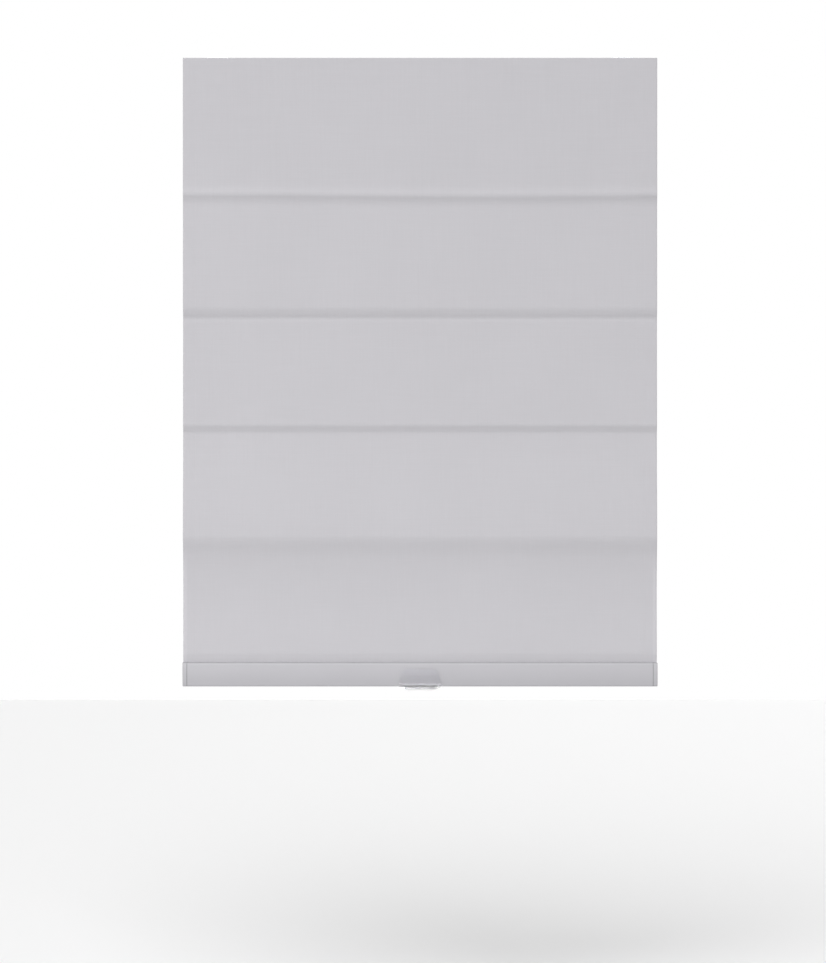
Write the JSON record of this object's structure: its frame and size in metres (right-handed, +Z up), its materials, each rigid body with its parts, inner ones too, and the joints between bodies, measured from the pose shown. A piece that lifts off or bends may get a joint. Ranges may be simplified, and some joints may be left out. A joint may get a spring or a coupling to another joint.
{
  "type": "roman blind",
  "caption": "Cordless flat roman blind for mounting inside a window, with ribs in rod pockets, a spring lift in the headrail, a bottom rail and a clear lift handle.",
  "frame": {"origin": "centre of the four screw holes, in the top face of the mounting brackets", "axes": "+Z up, +X along the headrail to the right seen from the room, +Y towards the window"},
  "size_m": [0.866, 0.0544, 1.1516],
  "materials": {
    "cloth": "matt woven polyester, pale lilac-grey",
    "fastener_tape": "white hook and loop tape",
    "cord": "white braided polyester",
    "white_enamel": "white baked enamel on rolled steel",
    "white_rail": "satin white extrusion",
    "white_plastic": "satin white moulding",
    "acetal": "natural acetal",
    "fibreglass": "smooth pultruded rod",
    "rib_tip_plastic": "soft white cap",
    "ring_plastic": "translucent nylon",
    "clear_plastic": "clear polycarbonate",
    "zinc_plated_steel": "zinc plated",
    "spring_steel": "bare spring strip"
  },
  "bodies": {
    "headrail": {"headrail_channel": "white_enamel", "hook_strip": "fastener_tape", "loop_strip": "fastener_tape", "shade_fabric": "cloth", "bracket_rivets": "zinc_plated_steel", "motor_screws": "zinc_plated_steel", "power_spring": "spring_steel", "headrail_end_cap_left": "white_plastic", "headrail_end_cap_right": "white_plastic", "mounting_bracket_left": "zinc_plated_steel", "mounting_bracket_right": "zinc_plated_steel", "bracket_spring_clip_left": "spring_steel", "bracket_spring_clip_right": "spring_steel", "spool_cradle_left": "white_plastic", "spool_cradle_right": "white_plastic", "cord_eyelet_left": "acetal", "cord_eyelet_right": "acetal", "motor_housing_left": "white_plastic", "motor_housing_right": "white_plastic", "lift_cord_left": "cord", "lift_cord_right": "cord"},
    "shaft": {"lift_shaft": "zinc_plated_steel", "cord_spool_left": "acetal", "cord_spool_right": "acetal", "output_drum": "acetal"},
    "spring_store": {"storage_drum": "acetal"},
    "first_rib": {"rib_1": "fibreglass", "rib_1_tips": "rib_tip_plastic", "cord_ring_1_left": "ring_plastic", "cord_ring_1_right": "ring_plastic"},
    "second_rib": {"rib_2": "fibreglass", "rib_2_tips": "rib_tip_plastic", "cord_ring_2_left": "ring_plastic", "cord_ring_2_right": "ring_plastic"},
    "third_rib": {"rib_3": "fibreglass", "rib_3_tips": "rib_tip_plastic", "cord_ring_3_left": "ring_plastic", "cord_ring_3_right": "ring_plastic"},
    "fourth_rib": {"rib_4": "fibreglass", "rib_4_tips": "rib_tip_plastic", "cord_ring_4_left": "ring_plastic", "cord_ring_4_right": "ring_plastic"},
    "bottom": {"bottom_rail": "white_rail", "groove_spline": "fibreglass", "ballast_bar": "zinc_plated_steel", "lift_handle": "clear_plastic", "handle_screws": "zinc_plated_steel", "rail_end_cap_left": "white_plastic", "rail_end_cap_right": "white_plastic", "cord_plug_left": "acetal", "cord_plug_right": "acetal", "cord_stop_left": "ring_plastic", "cord_stop_right": "ring_plastic"}
  },
  "joints": [
    {"name": "blind_lift", "type": "slide", "parent": "headrail", "child": "first_rib", "axis": [0, 0, 1], "range_m": [0, 0.203], "deforming": ["shade_fabric", "lift_cord_left", "lift_cord_right"]},
    {"name": "second_rib_lift", "type": "slide", "parent": "first_rib", "child": "second_rib", "axis": [0, 0, 1], "range_m": [0, 0.205]},
    {"name": "third_rib_lift", "type": "slide", "parent": "second_rib", "child": "third_rib", "axis": [0, 0, 1], "range_m": [0, 0.194]},
    {"name": "fourth_rib_lift", "type": "slide", "parent": "third_rib", "child": "fourth_rib", "axis": [0, 0, 1], "range_m": [0, 0.196]},
    {"name": "bottom_rail_lift", "type": "slide", "parent": "fourth_rib", "child": "bottom", "axis": [0, 0, 1], "range_m": [0, 0.07]},
    {"name": "lift_shaft_turn", "type": "hinge", "parent": "headrail", "child": "shaft", "pos_m": [0, 0.00805, -0.022], "axis": [-1, 0, 0], "range_deg": [0, 6957], "deforming": ["power_spring"]},
    {"name": "spring_store_turn", "type": "hinge", "parent": "headrail", "child": "spring_store", "pos_m": [0, -0.0086, -0.022], "axis": [1, 0, 0], "range_deg": [0, 6957]}
  ],
  "couplings": [
    {"joint": "second_rib_lift", "follows": "blind_lift", "ratio": 1.0099},
    {"joint": "third_rib_lift", "follows": "blind_lift", "ratio": 0.95566},
    {"joint": "fourth_rib_lift", "follows": "blind_lift", "ratio": 0.96552},
    {"joint": "bottom_rail_lift", "follows": "blind_lift", "ratio": 0.34483},
    {"joint": "lift_shaft_turn", "follows": "blind_lift", "rad_per_m": 598.02},
    {"joint": "spring_store_turn", "follows": "blind_lift", "rad_per_m": 598.02}
  ]
}
